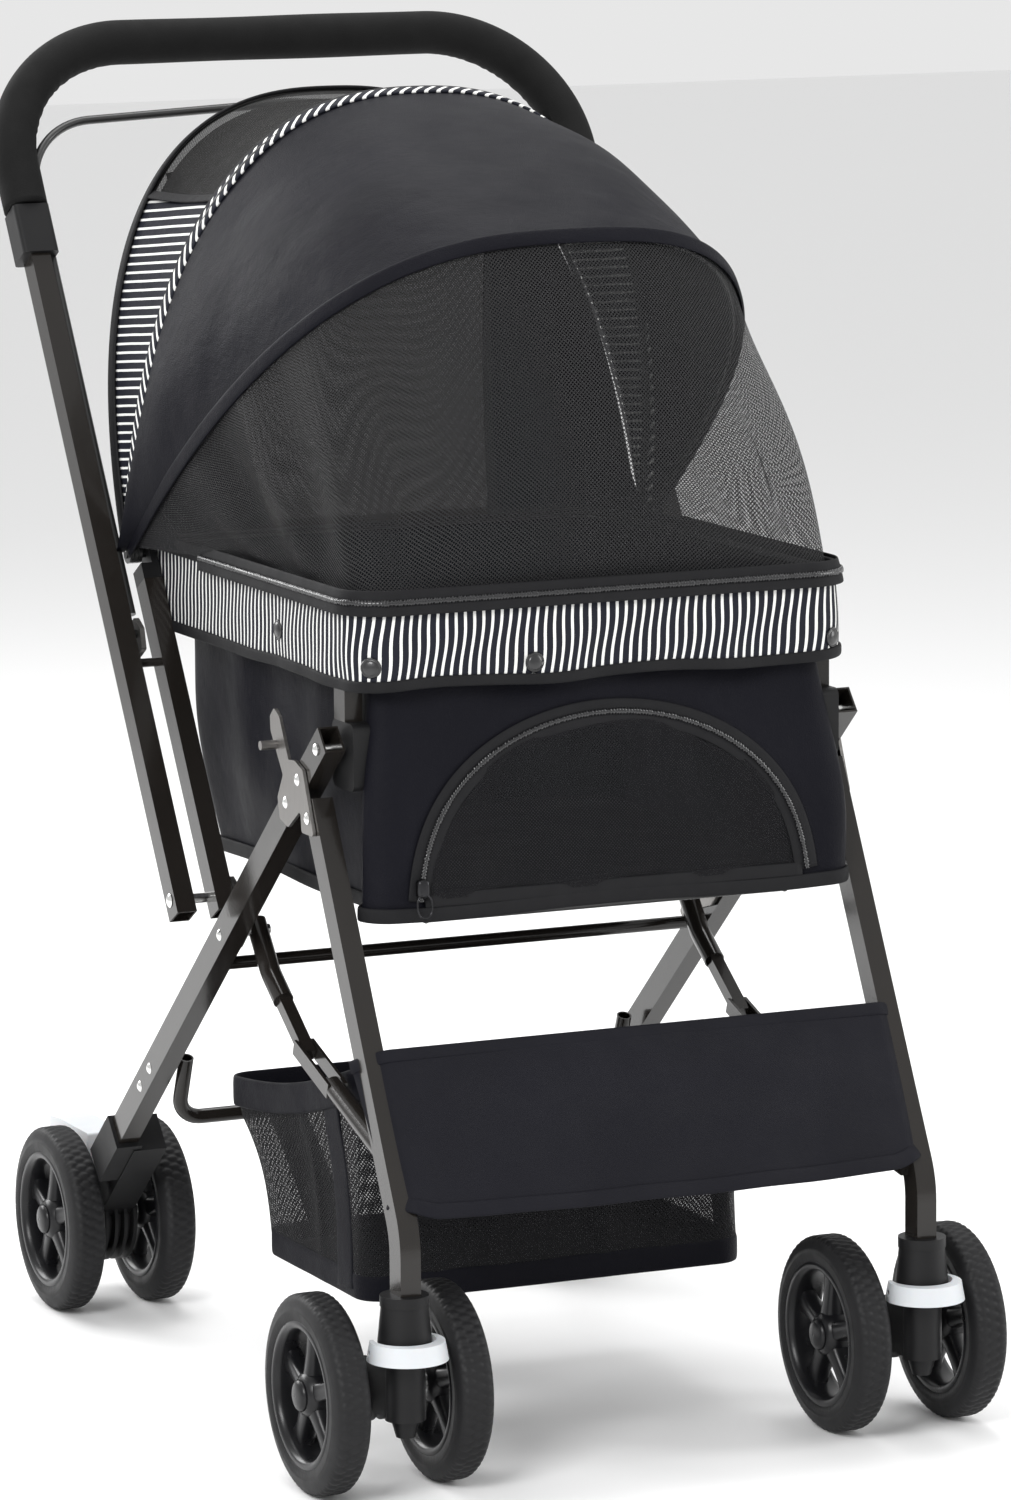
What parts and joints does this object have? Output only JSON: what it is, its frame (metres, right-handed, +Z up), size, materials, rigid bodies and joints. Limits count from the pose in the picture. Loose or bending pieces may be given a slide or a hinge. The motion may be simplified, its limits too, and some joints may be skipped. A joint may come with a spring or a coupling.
{
  "type": "folding_four_wheel_pet_stroller",
  "caption": "Folding pet stroller with a canopied mesh cabin on a crossed tube frame, reversible push handle, twin swivel casters, twin rear wheels and a storage basket",
  "frame": {"origin": "on the floor, under the middle of the stroller's box", "axes": "+Z up, -Y forward, X across; the two sides mirror each other"},
  "size_m": [0.553, 0.7917, 1.0366],
  "materials": {
    "frame_paint": "glossy brown-grey powder paint",
    "steel_wire": "satin black wire",
    "plate_steel": "nickel grey stamped plate",
    "bright_steel": "polished rivets, pins and axles",
    "black_plastic": "moulded matt black",
    "grey_plastic": "moulded light grey",
    "wheel_plastic": "moulded satin dark grey",
    "tyre": "foamed tyre with a knurled tread",
    "foam": "closed cell foam grip",
    "striped_fabric": "dark woven cloth with thin white stripes",
    "dark_fabric": "charcoal polyester",
    "mesh_fabric": "black open mesh",
    "panel_fabric": "woven panel cloth"
  },
  "bodies": {
    "rear_frame": {"rear_legs": "frame_paint", "fold_plates": "plate_steel", "strut_brackets": "plate_steel", "basket_tube": "frame_paint", "rear_cross_bar": "frame_paint", "rear_housing_left": "black_plastic", "rear_housing_right": "black_plastic", "rear_axles": "bright_steel", "front_posts": "frame_paint", "post_blocks": "black_plastic", "rim_frame": "steel_wire", "cabin_tub": "dark_fabric", "base_board": "dark_fabric", "floor_frame": "steel_wire", "rear_posts": "frame_paint", "canopy_hubs": "black_plastic", "rear_hoop": "steel_wire", "canopy_rear": "striped_fabric", "storage_basket": "mesh_fabric", "frame_rivets": "bright_steel"},
    "front_frame": {"front_legs": "frame_paint", "front_cross_bar": "frame_paint", "front_panel": "panel_fabric", "caster_sockets": "black_plastic"},
    "rear_strut_pair": {"rear_struts": "frame_paint"},
    "front_strut_pair": {"front_struts": "frame_paint"},
    "handle": {"handle_tube": "frame_paint", "handle_grip": "foam", "handle_collars": "black_plastic"},
    "release": {"release_bar": "steel_wire"},
    "hooks": {"handle_hooks": "plate_steel"},
    "front_bow": {"front_hoop": "steel_wire", "canopy_front": "dark_fabric", "canopy_mesh": "mesh_fabric"},
    "mid_bow": {"mid_hoop": "steel_wire"},
    "door": {"front_door": "mesh_fabric"},
    "caster_left": {"caster_fork_left": "black_plastic", "front_axle_left": "bright_steel"},
    "lock_left": {"swivel_lock_left": "grey_plastic"},
    "pedal_left": {"brake_pedal_left": "grey_plastic"},
    "wheel_front_left_outer": {"rim_front_left_outer": "wheel_plastic", "tyre_front_left_outer": "tyre"},
    "wheel_front_left_inner": {"rim_front_left_inner": "wheel_plastic", "tyre_front_left_inner": "tyre"},
    "wheel_rear_left_outer": {"rim_rear_left_outer": "wheel_plastic", "tyre_rear_left_outer": "tyre"},
    "wheel_rear_left_inner": {"rim_rear_left_inner": "wheel_plastic", "tyre_rear_left_inner": "tyre"},
    "caster_right": {"caster_fork_right": "black_plastic", "front_axle_right": "bright_steel"},
    "lock_right": {"swivel_lock_right": "grey_plastic"},
    "pedal_right": {"brake_pedal_right": "grey_plastic"},
    "wheel_front_right_outer": {"rim_front_right_outer": "wheel_plastic", "tyre_front_right_outer": "tyre"},
    "wheel_front_right_inner": {"rim_front_right_inner": "wheel_plastic", "tyre_front_right_inner": "tyre"},
    "wheel_rear_right_outer": {"rim_rear_right_outer": "wheel_plastic", "tyre_rear_right_outer": "tyre"},
    "wheel_rear_right_inner": {"rim_rear_right_inner": "wheel_plastic", "tyre_rear_right_inner": "tyre"}
  },
  "joints": [
    {"name": "frame_fold", "type": "hinge", "parent": "rear_frame", "child": "front_frame", "pos_m": [0, -0.2119, 0.482], "axis": [1, 0, 0], "range_deg": [0, 50], "deforming": ["storage_basket"]},
    {"name": "handle_swing", "type": "hinge", "parent": "rear_frame", "child": "handle", "pos_m": [0, -0.0089, 0.39], "axis": [1, 0, 0], "range_deg": [0, 79.5]},
    {"name": "canopy_fold", "type": "hinge", "parent": "mid_bow", "child": "front_bow", "pos_m": [0, 0.14306, 0.637], "axis": [-1, 0, 0], "range_deg": [0, 24], "deforming": ["canopy_front", "canopy_mesh", "canopy_rear"]},
    {"name": "release_slide", "type": "slide", "parent": "handle", "child": "release", "axis": [0, 0.524, 0.8517], "range_m": [0, 0.014]},
    {"name": "hook_turn", "type": "hinge", "parent": "handle", "child": "hooks", "pos_m": [0, 0.10212, 0.58], "axis": [1, 0, 0], "range_deg": [0, 20]},
    {"name": "mid_bow_turn", "type": "hinge", "parent": "rear_frame", "child": "mid_bow", "pos_m": [0, 0.14306, 0.637], "axis": [-1, 0, 0], "range_deg": [0, 16]},
    {"name": "rear_strut_turn", "type": "hinge", "parent": "rear_frame", "child": "rear_strut_pair", "pos_m": [0, -0.0169, 0.363], "axis": [-1, 0, 0], "range_deg": [0, 65.5]},
    {"name": "front_strut_turn", "type": "hinge", "parent": "rear_strut_pair", "child": "front_strut_pair", "pos_m": [0, -0.1109, 0.286], "axis": [1, 0, 0], "range_deg": [0, 158]},
    {"name": "door_flap", "type": "hinge", "parent": "rear_frame", "child": "door", "pos_m": [0, -0.2729, 0.426], "axis": [1, 0, 0], "range_deg": [0, 100]},
    {"name": "caster_swivel_left", "type": "hinge", "parent": "front_frame", "child": "caster_left", "pos_m": [-0.211, -0.3609, 0.1], "axis": [0, 0, 1], "continuous": true},
    {"name": "swivel_lock_left", "type": "hinge", "parent": "caster_left", "child": "lock_left", "pos_m": [-0.211, -0.3609, 0.114], "axis": [1, 0, 0], "range_deg": [0, 20]},
    {"name": "brake_left", "type": "hinge", "parent": "rear_frame", "child": "pedal_left", "pos_m": [-0.189, 0.3101, 0.117], "axis": [-1, 0, 0], "range_deg": [0, 20]},
    {"name": "spin_front_left_outer", "type": "hinge", "parent": "caster_left", "child": "wheel_front_left_outer", "pos_m": [-0.2595, -0.3119, 0.075], "axis": [1, 0, 0], "continuous": true},
    {"name": "spin_front_left_inner", "type": "hinge", "parent": "caster_left", "child": "wheel_front_left_inner", "pos_m": [-0.1625, -0.3119, 0.075], "axis": [1, 0, 0], "continuous": true},
    {"name": "spin_rear_left_outer", "type": "hinge", "parent": "rear_frame", "child": "wheel_rear_left_outer", "pos_m": [-0.228, 0.3061, 0.075], "axis": [1, 0, 0], "continuous": true},
    {"name": "spin_rear_left_inner", "type": "hinge", "parent": "rear_frame", "child": "wheel_rear_left_inner", "pos_m": [-0.15, 0.3061, 0.075], "axis": [1, 0, 0], "continuous": true},
    {"name": "caster_swivel_right", "type": "hinge", "parent": "front_frame", "child": "caster_right", "pos_m": [0.211, -0.3609, 0.1], "axis": [0, 0, 1], "continuous": true},
    {"name": "swivel_lock_right", "type": "hinge", "parent": "caster_right", "child": "lock_right", "pos_m": [0.211, -0.3609, 0.114], "axis": [1, 0, 0], "range_deg": [0, 20]},
    {"name": "brake_right", "type": "hinge", "parent": "rear_frame", "child": "pedal_right", "pos_m": [0.189, 0.3101, 0.117], "axis": [-1, 0, 0], "range_deg": [0, 20]},
    {"name": "spin_front_right_outer", "type": "hinge", "parent": "caster_right", "child": "wheel_front_right_outer", "pos_m": [0.2595, -0.3119, 0.075], "axis": [1, 0, 0], "continuous": true},
    {"name": "spin_front_right_inner", "type": "hinge", "parent": "caster_right", "child": "wheel_front_right_inner", "pos_m": [0.1625, -0.3119, 0.075], "axis": [1, 0, 0], "continuous": true},
    {"name": "spin_rear_right_outer", "type": "hinge", "parent": "rear_frame", "child": "wheel_rear_right_outer", "pos_m": [0.228, 0.3061, 0.075], "axis": [1, 0, 0], "continuous": true},
    {"name": "spin_rear_right_inner", "type": "hinge", "parent": "rear_frame", "child": "wheel_rear_right_inner", "pos_m": [0.15, 0.3061, 0.075], "axis": [1, 0, 0], "continuous": true}
  ],
  "couplings": [
    {"joint": "hook_turn", "follows": "release_slide", "rad_per_m": 24.9},
    {"joint": "mid_bow_turn", "follows": "canopy_fold", "ratio": 0.65},
    {"joint": "rear_strut_turn", "follows": "frame_fold", "ratio": 1.3},
    {"joint": "front_strut_turn", "follows": "frame_fold", "ratio": 3.15}
  ]
}
